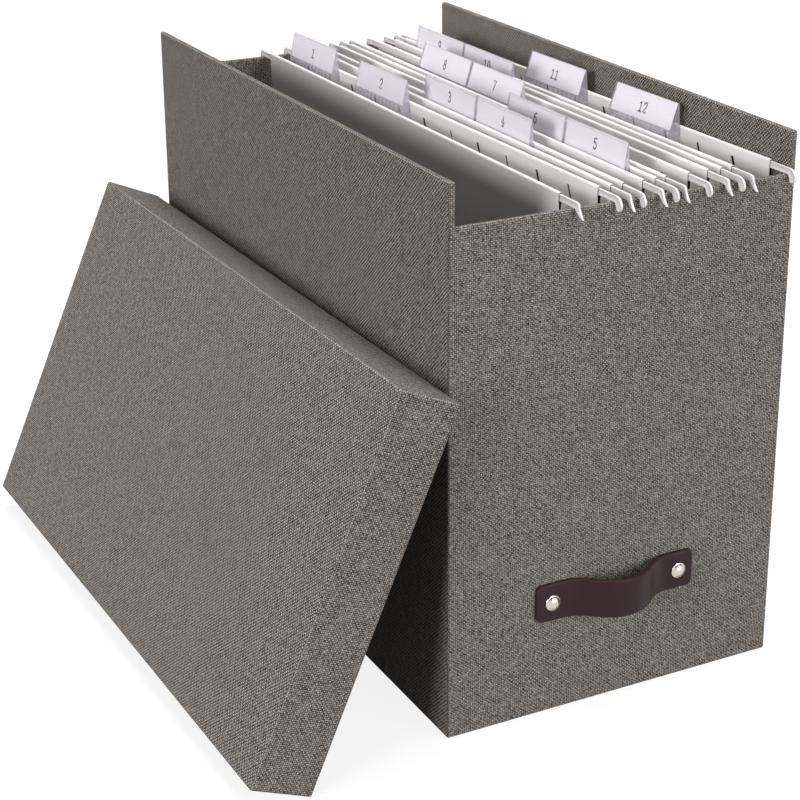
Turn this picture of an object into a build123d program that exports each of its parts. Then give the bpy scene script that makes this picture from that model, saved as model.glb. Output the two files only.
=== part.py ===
"""Desktop box for hanging files: wrapped board walls, six hanging folders, and a lid set against its side.

Frame: +Z up, +X to the right, +Y to the far end, origin at the middle of the underside. Millimetres.
"""
from build123d import *
from math import cos, radians, sin
import os

# Box: outside sizes, walls and their wrapping
box_len = 350.0
box_wid = 187.0
end_height = 256.0
side_rise = 21.0
cover_t = 0.4
board_t = 2.2
lining_t = 0.4
edge_round = 1.2
board_edge = 0.5
turn_in = 45.0
base_margin = 15.0
sheet_gap = 0.2

# Hanging folders: rails that lie on the two end walls, and the card between them
hook_reach = 5.5
hook_play = 0.8
rail_t = 1.6
rail_drop = 0.3
arm_tall = 3.9
strip_tall = 3.1
rail_flange = 0.75
rail_recess = 0.35
hook_tall = 5.1
hook_nose = 2.0
hook_taper = 1.4
hook_barb = 0.8
card_t = 0.4
card_play = 0.1
card_end_gap = 11.5
card_floor_gap = 13.0
card_fold = 5.0
hem_tall = 19.0
hem_shoulder = 4.4
slot_pitch = 28.2
slot_wide = 1.0
slot_tall = 9.0
slot_drop = 5.0

# Where the rails cross the two end walls, as distances from the inside of the right wall to their middles:
# front rail at the near and far end, then back rail at the near and far end
rail_places = [
    (119.5, 120.0, 98.5, 104.5),
    (92.0, 92.5, 85.5, 85.5),
    (74.5, 75.5, 67.5, 68.0),
    (62.0, 62.0, 49.0, 49.5),
    (38.0, 38.5, 30.5, 31.0),
    (24.0, 26.5, 1.3, 10.0),
]
# The pair of index tabs on each folder: Y of the point midway between them, and their spacing in slots
tab_middles = [88.5, -27.3, -85.8, 42.2, 85.5, -20.0]
tab_slots = [3, 2, 2, 2, 2, 3]
# How far each pair's sloping front leaf stands out at its foot, as wide as the folder leaves room for
tab_feet = [5.3, 3.0, 3.5, 7.0, 3.9, 7.5]

# Index tabs: a clear folded prism that clips into two slots, and the paper label in it
tab_len = 55.8
tab_t = 0.5
tab_rise = 12.3
tab_drop = 6.6
tab_top = 1.1
tab_back_drop = 4.4
tongue_tall = 5.0
tongue_wide = 0.6
tongue_in = 0.4
label_len = 53.4
label_tall = 13.0
label_t = 0.25
label_play = 0.12
label_rest = 5.4

# Strap handle on the near end, held by two tubular rivets
strap_len = 89.5
strap_wid = 20.0
strap_t = 2.8
strap_corner = 3.5
strap_bow = 13.0
bow_run = 31.0
strap_x = -1.5
strap_z = 60.8
rivet_pitch = 72.3
rivet_head_r = 4.1
rivet_head_tall = 2.1
rivet_rim = 0.5
rivet_shoulder_r = 3.1
rivet_shoulder_tall = 1.4
rivet_crown_r = 1.5
rivet_shank_r = 1.6
rivet_play = 0.1
rivet_back_r = 4.6
rivet_back_t = 0.8

# Lid: a shallow tray with board walls, leaning against the left side of the box
lid_height = 33.0
lid_board_t = 1.8
lid_side_fit = 1.4
lid_end_fit = 0.4
lid_round = 1.2
lid_lean = 23.52
lid_twist = 0.8
lid_near_y = -188.9
lid_gap = 0.3

# Two lengths count as the same within this
same_place = 0.01

side_height = end_height + side_rise
wall_t = cover_t + board_t + cover_t
lined_t = cover_t + board_t + lining_t
half_len = box_len / 2
half_wid = box_wid / 2
board_in_y = half_len - cover_t - board_t
board_in_x = half_wid - cover_t - board_t
lining_top = end_height - turn_in


def export(piece, name):
    """Names a finished piece and writes it."""
    piece.part.label = name
    export_step(piece.part, f"parts/{name}.step")


def raised_block(wid, length, bottom, low_top, high_top, slab, soften, size):
    """A block whose two long sides stand up above its middle, with every outward edge softened."""
    step = wid / 2 - slab
    with BuildPart() as block:
        with BuildSketch(Plane.XZ):
            with BuildLine():
                Polyline(
                    (-wid / 2, bottom), (wid / 2, bottom), (wid / 2, high_top), (step, high_top),
                    (step, low_top), (-step, low_top), (-step, high_top), (-wid / 2, high_top), close=True,
                )
            make_face()
        extrude(amount=length / 2, both=True)
        sides = block.edges().filter_by(lambda edge: abs(abs(edge.center().X) - step) > same_place)
        tops = block.edges().group_by(Axis.Z)[-1]
        outward = [edge for edge in block.edges() if edge in sides or edge in tops]
        soften(outward, size)
    return block


def hollow(block, wid, length, bottom, rim_z, soften, size):
    """Cuts a block open from the top down to its floor, and softens the inner edge of the low end walls."""
    with BuildPart() as shell:
        add(block.part)
        with BuildSketch(Plane.XY.offset(bottom)):
            Rectangle(wid, length)
        extrude(amount=side_height, mode=Mode.SUBTRACT)
        rims = shell.edges().filter_by(Axis.X).filter_by(
            lambda edge: abs(abs(edge.center().Y) - length / 2) < same_place
            and abs(edge.center().Z - rim_z) < same_place
        )
        soften(rims, size)
    return shell


os.makedirs("parts", exist_ok=True)

# The five boards of the box are cut from this shell, so that they meet edge to edge
board_block = raised_block(
    box_wid - 2 * cover_t, box_len - 2 * cover_t, cover_t, end_height - cover_t, side_height - cover_t,
    board_t, chamfer, board_edge,
)
board_shell = hollow(
    board_block, 2 * board_in_x, 2 * board_in_y, cover_t + board_t, end_height - cover_t, chamfer, board_edge,
)

with BuildPart() as base_board:
    add(board_shell.part)
    with BuildSketch():
        Rectangle(2 * board_in_x, 2 * board_in_y)
    extrude(amount=cover_t + board_t, mode=Mode.INTERSECT)
export(base_board, "base_board")

for side, name in ((-1, "left_side_board"), (1, "right_side_board")):
    with BuildPart() as side_board:
        add(board_shell.part)
        with BuildSketch():
            with Locations((side * (board_in_x + board_t / 2), 0)):
                Rectangle(board_t, box_len)
        extrude(amount=side_height, mode=Mode.INTERSECT)
    export(side_board, name)

# The near end board has the two holes for the rivets of the handle
rivet_places = [(strap_x - rivet_pitch / 2, strap_z), (strap_x + rivet_pitch / 2, strap_z)]
handle_plane = Plane(origin=(0, -half_len, 0), x_dir=(1, 0, 0), z_dir=(0, -1, 0))
rivet_hole_r = rivet_shank_r + rivet_play

for side, name in ((-1, "front_end_board"), (1, "back_end_board")):
    with BuildPart() as end_board:
        add(board_shell.part)
        with BuildSketch():
            with Locations((0, side * (board_in_y + board_t / 2))):
                Rectangle(2 * board_in_x, board_t)
        extrude(amount=side_height, mode=Mode.INTERSECT)
        if side < 0:
            with BuildSketch(handle_plane):
                with Locations(*rivet_places):
                    Circle(rivet_hole_r)
            extrude(amount=-wall_t, mode=Mode.SUBTRACT)
    export(end_board, name)

# The woven cover goes round the outside, over every edge, down inside as far as the turn-in,
# and in under the base as a margin
cover_block = raised_block(box_wid, box_len, 0, end_height, side_height, wall_t, fillet, edge_round)
cover_shell = hollow(
    cover_block, box_wid - 2 * wall_t, box_len - 2 * wall_t, lined_t, end_height, fillet, edge_round,
)
with BuildPart() as outer_cover:
    add(cover_shell.part)
    with BuildSketch(Plane.XY.offset(cover_t + board_t)):
        Rectangle(2 * board_in_x, 2 * board_in_y)
    extrude(amount=lining_top - cover_t - board_t, mode=Mode.SUBTRACT)
    with BuildSketch():
        Rectangle(box_wid - 2 * base_margin, box_len - 2 * base_margin)
    extrude(amount=cover_t, mode=Mode.SUBTRACT)
    add(board_shell.part, mode=Mode.SUBTRACT)
    with BuildSketch(handle_plane):
        with Locations(*rivet_places):
            Circle(rivet_hole_r)
    extrude(amount=-wall_t, mode=Mode.SUBTRACT)
export(outer_cover, "outer_cover")

# Plain sheets: one pasted over the middle of the underside, one on the floor, and one round the walls inside
with BuildPart() as base_sheet:
    with BuildSketch():
        Rectangle(box_wid - 2 * base_margin - 2 * sheet_gap, box_len - 2 * base_margin - 2 * sheet_gap)
    extrude(amount=cover_t)
export(base_sheet, "base_sheet")

with BuildPart() as floor_lining:
    with BuildSketch(Plane.XY.offset(cover_t + board_t)):
        Rectangle(2 * board_in_x, 2 * board_in_y)
    extrude(amount=lining_t)
export(floor_lining, "floor_lining")

with BuildPart() as wall_lining:
    with BuildSketch(Plane.XY.offset(lined_t)):
        Rectangle(2 * board_in_x, 2 * board_in_y)
        Rectangle(2 * (board_in_x - lining_t), 2 * (board_in_y - lining_t), mode=Mode.SUBTRACT)
    extrude(amount=lining_top - sheet_gap - lined_t)
    with BuildSketch(handle_plane):
        with Locations(*rivet_places):
            Circle(rivet_hole_r)
    extrude(amount=-2 * lined_t, mode=Mode.SUBTRACT)
export(wall_lining, "wall_lining")

# The strap is one flat length of leather that bows out between its two riveted ends
with BuildPart() as handle_strap:
    with BuildSketch(Plane(origin=(strap_x, -half_len - strap_t / 2, strap_z))):
        with BuildLine():
            for side in (-1, 1):
                Line((side * strap_len / 2, 0), (side * bow_run, 0))
                TangentArc((side * bow_run, 0), (side * bow_run / 2, -strap_bow / 2), tangent=(-side, 0))
                TangentArc((0, -strap_bow), (side * bow_run / 2, -strap_bow / 2), tangent=(side, 0))
        trace(line_width=strap_t)
    extrude(amount=strap_wid / 2, both=True)
    with BuildSketch(handle_plane):
        with Locations((strap_x, strap_z)):
            RectangleRounded(strap_len, strap_wid, strap_corner)
    extrude(amount=strap_bow + 2 * strap_t, mode=Mode.INTERSECT)
    with BuildSketch(handle_plane):
        with Locations(*rivet_places):
            Circle(rivet_hole_r)
    extrude(amount=strap_t, mode=Mode.SUBTRACT)
export(handle_strap, "handle_strap")

# Each rivet has a low domed head on the leather, a shank through strap, cover, board and lining,
# and a flat cap pressed on behind
shank_len = strap_t + lined_t
with BuildPart() as handle_rivets:
    for x, z in rivet_places:
        with BuildSketch(Plane(origin=(x, -half_len - strap_t, z))):
            with BuildLine():
                Polyline((0, -rivet_head_tall), (0, shank_len), (rivet_shank_r, shank_len), (rivet_shank_r, 0),
                         (rivet_head_r, 0), (rivet_head_r, -rivet_rim), (rivet_shoulder_r, -rivet_shoulder_tall),
                         (rivet_crown_r, -rivet_head_tall), close=True)
            make_face()
        revolve(axis=Axis((x, 0, z), (0, 1, 0)))
export(handle_rivets, "handle_rivets")

with BuildPart() as rivet_backs:
    with BuildSketch(handle_plane.offset(-lined_t)):
        with Locations(*rivet_places):
            Circle(rivet_back_r)
    extrude(amount=-rivet_back_t)
export(rivet_backs, "rivet_backs")

# Hanging folders. Every level is counted up from the end walls' rims, on which the rails' arms lie
half_rail = half_len + hook_reach
card_half = half_len - wall_t - card_end_gap
arm_low = end_height + rail_drop
arm_high = arm_low + arm_tall
strip_high = arm_high - (arm_tall - strip_tall) / 2
hem_half = rail_t / 2 + card_play + card_t / 2
hem_high = strip_high + card_play + card_t / 2
hem_low = hem_high - hem_tall
slot_high = hem_high - slot_drop
card_low = lined_t + card_floor_gap


def section_plane(y):
    """The upright plane across the box at y, with X to the right and Z up."""
    return Plane(origin=(0, y, 0), x_dir=(1, 0, 0), z_dir=(0, -1, 0))


def rail_x(near, far, y):
    """X of a rail's middle at y, from its distances to the right wall at the near and the far end."""
    return half_wid - wall_t - near - (far - near) * (y + half_len) / box_len


def along(near, far):
    """Unit direction of a rail, towards the far end."""
    return Vector(near - far, box_len, 0).normalized()


def rail_plane(near, far):
    """The upright plane through a rail's middle: its x runs along the rail, its y up."""
    run = along(near, far)
    return Plane(origin=(rail_x(near, far, 0), 0, 0), x_dir=run, z_dir=run.cross(Vector(0, 0, 1)))


def ribbon(path, width):
    """The outline of a strip of one width along a path, mitred at its corners, as a closed list of points."""
    points = [Vector(*p) for p in path]
    runs = [(b - a).normalized() for a, b in zip(points, points[1:])]
    sides = [Vector(-run.Y, run.X) for run in runs]
    left = []
    right = []
    for i, point in enumerate(points):
        before = sides[max(i - 1, 0)]
        after = sides[min(i, len(sides) - 1)]
        mitre = (before + after) * (1 / (1 + before.dot(after)))
        left.append(point + mitre * (width / 2))
        right.append(point - mitre * (width / 2))
    return left + right[::-1]


def hem(x, side):
    """Path of one hem over a rail at x: from the glued flap's lower edge, over, and down to the leaf."""
    layer = (card_t + card_play) / 2
    shoulder = hem_high - hem_shoulder
    bend = hem_half / 4
    return [
        (x + side * layer, hem_low),
        (x + side * hem_half, shoulder),
        (x + side * hem_half, hem_high - bend),
        (x + side * (hem_half - bend), hem_high),
        (x - side * (hem_half - bend), hem_high),
        (x - side * hem_half, hem_high - bend),
        (x - side * hem_half, shoulder),
        (x - side * layer, hem_low),
    ]


def card_path(front_x, back_x):
    """Path of the whole card in a cross-section: front hem, front leaf, flat fold, back leaf, back hem."""
    middle = (front_x + back_x) / 2
    floor = [(middle - card_fold / 2, card_low), (middle + card_fold / 2, card_low)]
    return hem(front_x, 1) + floor + hem(back_x, -1)[::-1]


arm_in = card_half + card_play
strip_low = strip_high - strip_tall
hook_in = half_len + hook_play
hook_low = arm_low - hook_tall
hem_face = hem_half + card_t / 2
tab_back = -(hem_face + card_play + tab_t / 2)
tab_high = hem_high + tab_rise
tab_low = hem_high - tab_drop
slot_mid = slot_high - slot_tall / 2
arm_outline = [
    (arm_in, arm_high),
    (half_rail - hook_nose, arm_high),
    (half_rail, arm_high - hook_nose),
    (half_rail - hook_taper, hook_low + hook_taper),
    (half_rail - 2 * hook_taper, hook_low),
    (hook_in, hook_low + hook_barb),
    (hook_in + hook_barb, hook_low + 3 * hook_barb),
    (hook_in, arm_low - hook_barb),
    (hook_in - hook_barb, arm_low),
    (arm_in, arm_low),
]
label_in = tab_t / 2 + label_play + label_t / 2


def tab_path(foot):
    """Path of a tab in cross-section: up the back leaf, over the ridge, down the front leaf, back to the slots."""
    return [
        (tab_back, hem_high - tab_back_drop),
        (tab_back, tab_high),
        (tab_back - tab_top, tab_high),
        (tab_back - foot, tab_low),
        (tab_back, slot_mid),
    ]


def label_path(foot):
    """Path of a label in cross-section, lying behind the front leaf of its tab."""
    low = Vector(tab_back - foot, tab_low)
    up = (Vector(tab_back - tab_top, tab_high) - low).normalized()
    start = low + up * label_rest + Vector(up.Y, -up.X) * label_in
    return [tuple(start), tuple(start + up * label_tall)]


for number, (front_near, front_far, back_near, back_far) in enumerate(rail_places, start=1):
    foot = tab_feet[number - 1]
    tab_half = slot_pitch * tab_slots[number - 1] / 2
    tab_centres = [tab_middles[number - 1] - tab_half, tab_middles[number - 1] + tab_half]
    first_slot = tab_centres[0] + slot_pitch / 2
    slots_each_way = int(box_len / slot_pitch)
    slots = [
        first_slot + slot_pitch * k for k in range(-slots_each_way, slots_each_way + 1)
        if abs(first_slot + slot_pitch * k) < card_half - slot_pitch / 2
    ]
    back_plane = rail_plane(back_near, back_far)
    run = along(back_near, back_far)

    with BuildPart() as card:
        for y in (-card_half, card_half):
            with BuildSketch(section_plane(y)):
                with BuildLine():
                    middle_line = card_path(rail_x(front_near, front_far, y), rail_x(back_near, back_far, y))
                    Polyline(*ribbon(middle_line, card_t), close=True)
                make_face()
        loft(ruled=True)
        with BuildSketch(back_plane):
            with Locations(*[(y, slot_mid) for y in slots]):
                Rectangle(slot_wide, slot_tall)
        extrude(amount=2 * hem_half, both=True, mode=Mode.SUBTRACT)
    export(card, f"folder_{number}_card")

    for name, near, far in (("front", front_near, front_far), ("back", back_near, back_far)):
        with BuildPart() as rail:
            with BuildSketch(rail_plane(near, far)):
                with Locations((0, (strip_low + strip_high) / 2)):
                    Rectangle(2 * arm_in, strip_tall)
                with BuildLine():
                    Polyline(*arm_outline, close=True)
                make_face()
                mirror(about=Plane.YZ)
            extrude(amount=rail_t / 2, both=True)
            for side in (-1, 1):
                with BuildSketch(rail_plane(near, far).offset(side * rail_t / 2)):
                    with BuildLine():
                        Polyline(*arm_outline, close=True)
                    make_face()
                    offset(amount=-rail_flange, kind=Kind.INTERSECTION)
                    mirror(about=Plane.YZ)
                extrude(amount=-side * rail_recess, mode=Mode.SUBTRACT)
        export(rail, f"folder_{number}_{name}_rail")

    with BuildPart() as tabs:
        for y in tab_centres:
            middle = Vector(rail_x(back_near, back_far, y), y, 0)
            tab_plane = Plane(origin=middle, x_dir=back_plane.z_dir, z_dir=-run)
            with BuildSketch(tab_plane):
                with BuildLine():
                    Polyline(*ribbon(tab_path(foot), tab_t), close=True)
                make_face()
            extrude(amount=tab_len / 2, both=True)
            for end in (-1, 1):
                with BuildSketch(tab_plane.offset(end * (tab_len - tab_t) / 2)):
                    with BuildLine():
                        Polyline(*tab_path(foot)[:4], close=True)
                    make_face()
                extrude(amount=tab_t / 2, both=True)
                with BuildSketch(tab_plane.offset(end * slot_pitch / 2)):
                    with BuildLine():
                        Polyline((tab_back, slot_mid - tongue_tall / 2), (tongue_in, slot_mid - tongue_tall / 2),
                                 (tongue_in, slot_mid + tongue_tall / 2), (tab_back, slot_mid + tongue_tall / 2),
                                 close=True)
                    make_face()
                extrude(amount=tongue_wide / 2, both=True)
    export(tabs, f"folder_{number}_tabs")

    with BuildPart() as labels:
        for y in tab_centres:
            middle = Vector(rail_x(back_near, back_far, y), y, 0)
            with BuildSketch(Plane(origin=middle, x_dir=back_plane.z_dir, z_dir=-run)):
                with BuildLine():
                    Polyline(*ribbon(label_path(foot), label_t), close=True)
                make_face()
            extrude(amount=label_len / 2, both=True)
    export(labels, f"folder_{number}_labels")

# Lid. It stands on the outer edge of its lower long skirt and its upper one touches the side of the box
lid_wall = cover_t + lid_board_t + cover_t
lid_wid = box_wid + 2 * (lid_side_fit + lid_wall)
lid_len = box_len + 2 * (hook_reach + lid_end_fit + lid_wall)
lean = radians(lid_lean)
twist = radians(lid_twist)
rounding = lid_round * (sin(lean) + cos(lean) - 1)
lid_up = Vector(sin(lean) * cos(twist), sin(lean) * sin(twist), cos(lean))
lid_out = Vector(-cos(lean) * cos(twist), -cos(lean) * sin(twist), sin(lean))
lid_far = Vector(-sin(twist), cos(twist), 0)
lid_corner = Vector(-half_wid - lid_gap + rounding - lid_wid * lid_up.X, lid_near_y, -rounding)
lid_plane = Plane(
    origin=lid_corner + lid_up * (lid_wid / 2) + lid_far * (lid_len / 2), x_dir=lid_up, z_dir=lid_out,
)
lid_in_wid = lid_wid - 2 * (cover_t + lid_board_t)
lid_in_len = lid_len - 2 * (cover_t + lid_board_t)
lid_in_high = lid_height - cover_t - lid_board_t


def lid_tray(inset, inner_wid, inner_len, soften, size):
    """The lid's tray shape, its outside drawn in by inset, with the edges of the outside and the rim softened."""
    with BuildPart() as tray:
        with BuildSketch(lid_plane.offset(inset)):
            Rectangle(lid_wid - 2 * inset, lid_len - 2 * inset)
        extrude(amount=lid_height - 2 * inset)
        soften(tray.edges(), size)
        with BuildSketch(lid_plane):
            Rectangle(inner_wid, inner_len)
        extrude(amount=lid_in_high, mode=Mode.SUBTRACT)
        rim = tray.edges().filter_by(
            lambda edge: abs(lid_plane.to_local_coords(edge.center()).Z - inset) < same_place
            and edge.length > inner_wid - same_place
        )
        rim_inner = rim.filter_by(
            lambda edge: abs(lid_plane.to_local_coords(edge.center()).X) < inner_wid / 2 + same_place
            and abs(lid_plane.to_local_coords(edge.center()).Y) < inner_len / 2 + same_place
        )
        soften(rim_inner, size)
    return tray


lid_boards = lid_tray(cover_t, lid_in_wid, lid_in_len, chamfer, board_edge)

with BuildPart() as lid_top_board:
    add(lid_boards.part)
    with BuildSketch(lid_plane.offset(lid_in_high)):
        Rectangle(lid_wid, lid_len)
    extrude(amount=lid_board_t + cover_t, mode=Mode.INTERSECT)
export(lid_top_board, "lid_top_board")

for side, name in ((-1, "lid_lower_skirt"), (1, "lid_upper_skirt")):
    with BuildPart() as lid_skirt:
        add(lid_boards.part)
        with BuildSketch(lid_plane):
            with Locations((side * (lid_in_wid + lid_board_t) / 2, 0)):
                Rectangle(lid_board_t, lid_len)
        extrude(amount=lid_in_high, mode=Mode.INTERSECT)
    export(lid_skirt, name)

for side, name in ((-1, "lid_front_skirt"), (1, "lid_back_skirt")):
    with BuildPart() as lid_skirt:
        add(lid_boards.part)
        with BuildSketch(lid_plane):
            with Locations((0, side * (lid_in_len + lid_board_t) / 2)):
                Rectangle(lid_in_wid, lid_board_t)
        extrude(amount=lid_in_high, mode=Mode.INTERSECT)
    export(lid_skirt, name)

# The lid's cover wraps the outside and turns in over the rim, down the full depth of the skirts
lid_outside = lid_tray(0, lid_wid - 2 * lid_wall, lid_len - 2 * lid_wall, fillet, lid_round)
with BuildPart() as lid_cover:
    add(lid_outside.part)
    add(lid_boards.part, mode=Mode.SUBTRACT)
export(lid_cover, "lid_cover")

with BuildPart() as lid_lining:
    with BuildSketch(lid_plane.offset(lid_in_high - lining_t)):
        Rectangle(lid_wid - 2 * lid_wall - 2 * sheet_gap, lid_len - 2 * lid_wall - 2 * sheet_gap)
    extrude(amount=lining_t)
export(lid_lining, "lid_lining")
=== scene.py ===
"""A desktop file box with hanging folders, a strap handle and a leaning lid, dressed for its portrait.

Metres, in the frame of the box: +Z up, the strap handle towards -Y, the lid on the left at -X.
"""
import math
import bpy
import numpy as np
from mathutils import Matrix, Vector


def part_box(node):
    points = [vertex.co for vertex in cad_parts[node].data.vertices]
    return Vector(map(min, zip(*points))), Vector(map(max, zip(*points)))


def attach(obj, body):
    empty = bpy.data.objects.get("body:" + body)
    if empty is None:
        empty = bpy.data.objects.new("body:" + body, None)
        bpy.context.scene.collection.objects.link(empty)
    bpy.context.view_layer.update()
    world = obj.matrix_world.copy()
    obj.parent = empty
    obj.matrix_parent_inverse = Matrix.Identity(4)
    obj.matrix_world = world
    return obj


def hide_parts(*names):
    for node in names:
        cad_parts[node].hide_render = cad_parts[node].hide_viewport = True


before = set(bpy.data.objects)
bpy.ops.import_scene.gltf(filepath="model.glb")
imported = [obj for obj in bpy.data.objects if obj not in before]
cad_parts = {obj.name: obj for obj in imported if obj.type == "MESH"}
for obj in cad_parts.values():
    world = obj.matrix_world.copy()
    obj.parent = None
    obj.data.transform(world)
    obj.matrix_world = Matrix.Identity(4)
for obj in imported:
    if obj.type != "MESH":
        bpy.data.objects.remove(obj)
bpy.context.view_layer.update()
MM = 0.001

# Camera. It stands about a metre off, left of the handle end, and looks down on the box by 21 degrees.
# The photograph's frame is cut off-centre, so the lens is shifted to match.
image_px = 800
focal_px = 1981.8
centre_px = (436.0, 340.0)
view_turn = math.radians(-27.982)
view_tilt = math.radians(20.818)
view_distance = 1.08674
view_target = Vector((-0.006225, 0.000892, 0.130))
sensor_mm = 36
view_end = 60

view_back = Vector((
    math.sin(view_turn) * math.cos(view_tilt),
    -math.cos(view_turn) * math.cos(view_tilt),
    math.sin(view_tilt),
))
view_right = Vector((math.cos(view_turn), math.sin(view_turn), 0))
view_up = view_back.cross(view_right)
camera_data = bpy.data.cameras.new("camera")
camera_data.sensor_width = sensor_mm
camera_data.lens = sensor_mm * focal_px / image_px
camera_data.shift_x = -(centre_px[0] - image_px / 2) / image_px
camera_data.shift_y = (centre_px[1] - image_px / 2) / image_px
camera_data.clip_end = view_end
camera = bpy.data.objects.new("camera", camera_data)
camera.matrix_world = Matrix((
    (view_right.x, view_up.x, view_back.x, 0), (view_right.y, view_up.y, view_back.y, 0),
    (view_right.z, view_up.z, view_back.z, 0), (0, 0, 0, 1),
))
camera.location = view_target + view_back * view_distance
bpy.context.scene.collection.objects.link(camera)
bpy.context.scene.camera = camera
bpy.context.scene.view_settings.view_transform = "Standard"


# Studio. A white floor and a dim even sky, with three broad soft lamps: at the left, in front and overhead.
# The camera, gloss and clear pieces see a white backdrop, and the floor keeps the object's shadow.
# A lamp has the direction that it stands in, its level on a surface that faces it, and its width in degrees.
sky_level = 0.13
backdrop_edge = (0.30, 0.55)
lamps = (
    ("soft_lamp_left", Vector((-0.91, -0.30, 0.28)), 0.59, 20),
    ("soft_lamp_front", Vector((0.30, -0.92, 0.25)), 0.68, 45),
    ("soft_lamp_above", Vector((0.09, 0.08, 0.99)), 0.87, 34),
)
floor_half = 14.0
floor_drop = 0.3 * MM
floor_bounce = 0.16
floor_glow = 0.86
floor_shade = 0.18


def linear(hex_colour):
    """An sRGB hex colour as linear red, green, blue and alpha 1."""
    levels = [int(hex_colour[i:i + 2], 16) / 255 for i in (1, 3, 5)]
    return tuple(c / 12.92 if c <= 0.04045 else ((c + 0.055) / 1.055) ** 2.4 for c in levels) + (1.0,)


def add_node(tree, kind, inputs=None, **settings):
    """Adds a shader node, applies its settings, and sets or links its inputs by name or number."""
    new = tree.nodes.new("ShaderNode" + kind)
    for name, value in settings.items():
        setattr(new, name, value)
    for name, value in (inputs or {}).items():
        if isinstance(value, bpy.types.NodeSocket):
            tree.links.new(value, new.inputs[name])
        else:
            new.inputs[name].default_value = value
    return new


def calc(tree, operation, *values):
    """One step of arithmetic on numbers or sockets, by the name of a Math node's operation."""
    return add_node(tree, "Math", dict(enumerate(values)), operation=operation).outputs[0]


def remap(tree, value, start, end, given=(0.0, 1.0), **settings):
    """A value of the given range put on the range from start to end, and held inside it."""
    return add_node(tree, "MapRange", {
        "Value": value, "From Min": given[0], "From Max": given[1], "To Min": start, "To Max": end,
    }, **settings).outputs[0]


def noise(tree, place, scale, detail):
    """Soft random blotches from 0 to 1, so many to each unit of the place, with finer grain by the detail."""
    return add_node(tree, "TexNoise", {"Vector": place, "Scale": scale, "Detail": detail}).outputs["Fac"]


def blend(tree, factor, first, second, **settings):
    """A colour between two linear colours or sockets."""
    inputs = {"Factor": factor, "A": first, "B": second}
    return add_node(tree, "Mix", inputs, data_type="RGBA", **settings).outputs["Result"]


def bumps(tree, strength, depth, height):
    """A surface normal, tilted as if each unit of the height stood out by the depth, which is in metres."""
    inputs = {"Strength": strength, "Distance": depth, "Height": height}
    return add_node(tree, "Bump", inputs).outputs[0]


def new_material(name):
    """An empty node material and its tree."""
    material = bpy.data.materials.new(name)
    material.use_nodes = True
    material.node_tree.nodes.clear()
    return material, material.node_tree


def with_surface(material, tree, inputs):
    """The material, finished with a principled surface that has these inputs."""
    surface = add_node(tree, "BsdfPrincipled", inputs)
    add_node(tree, "OutputMaterial", {"Surface": surface.outputs[0]})
    return material


world = bpy.data.worlds.new("studio_sky")
bpy.context.scene.world = world
world.use_nodes = True
sky = world.node_tree
sky.nodes.clear()
rays = add_node(sky, "LightPath").outputs
seen = calc(sky, "MAXIMUM", rays["Is Camera Ray"], rays["Is Transmission Ray"])
way = add_node(sky, "TexCoord")
height = add_node(sky, "SeparateXYZ", {0: way.outputs["Generated"]})
low_down = remap(sky, height.outputs["Z"], 1.0, 0.0, backdrop_edge)
mirrored = calc(sky, "MULTIPLY", rays["Is Glossy Ray"], low_down)
strength = remap(sky, calc(sky, "MAXIMUM", seen, mirrored), sky_level, 1.0)
backdrop = add_node(sky, "Background", {"Color": (1, 1, 1, 1), "Strength": strength})
add_node(sky, "OutputWorld", {"Surface": backdrop.outputs[0]})

for name, towards, level, spread in lamps:
    lamp_data = bpy.data.lights.new(name, "SUN")
    lamp_data.energy = level * math.pi
    lamp_data.angle = math.radians(spread)
    lamp = bpy.data.objects.new(name, lamp_data)
    lamp.rotation_euler = towards.to_track_quat("Z", "Y").to_euler()
    bpy.context.scene.collection.objects.link(lamp)

floor_mesh = bpy.data.meshes.new("floor")
floor_mesh.from_pydata(
    [(-floor_half, -floor_half, 0), (floor_half, -floor_half, 0), (floor_half, floor_half, 0),
     (-floor_half, floor_half, 0)], [], [(0, 1, 2, 3)],
)
floor = bpy.data.objects.new("floor", floor_mesh)
floor.location.z = -floor_drop
bpy.context.scene.collection.objects.link(floor)
floor_paint, tree = new_material("white_paper_floor")
rays = add_node(tree, "LightPath").outputs
seen = calc(tree, "MAXIMUM", rays["Is Camera Ray"], rays["Is Transmission Ray"])
seen = calc(tree, "MAXIMUM", rays["Is Glossy Ray"], seen)
tone = blend(tree, seen, (floor_bounce,) * 3 + (1,), (floor_shade,) * 3 + (1,))
matt = add_node(tree, "BsdfDiffuse", {"Color": tone})
lit = add_node(tree, "Emission", {"Strength": calc(tree, "MULTIPLY", seen, floor_glow)})
both = add_node(tree, "AddShader", {0: matt.outputs[0], 1: lit.outputs[0]})
add_node(tree, "OutputMaterial", {"Surface": both.outputs[0]})
floor_mesh.materials.append(floor_paint)


def dress(node_name, material):
    """Gives a solid of the frame one material in place of its plain one."""
    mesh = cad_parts[node_name].data
    mesh.materials.clear()
    mesh.materials.append(material)


def make_piece(name, points, faces, material, body, slot, smooth=True, closed=True):
    """A mesh object from arrays of points in metres and faces, with its material, riding on a body.

    The faces of a closed piece are turned round where the volume that they enclose comes out negative.
    """
    points = np.asarray(points, float).reshape(-1, 3)
    quads = [list(map(int, face)) for face in faces]
    whole = np.array([face for face in quads if len(face) == 4])
    first, second, third, fourth = (points[whole[:, k]] for k in range(4))
    volume = np.einsum("ij,ij->", first, np.cross(second, third) + np.cross(third, fourth))
    if closed and volume < 0:
        quads = [face[::-1] for face in quads]
    mesh = bpy.data.meshes.new(name)
    mesh.from_pydata(points.tolist(), [], quads)
    mesh.polygons.foreach_set("use_smooth", np.full(len(mesh.polygons), smooth))
    mesh.materials.append(material)
    piece = bpy.data.objects.new(name, mesh)
    bpy.context.scene.collection.objects.link(piece)
    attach(piece, body)
    return piece


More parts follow.
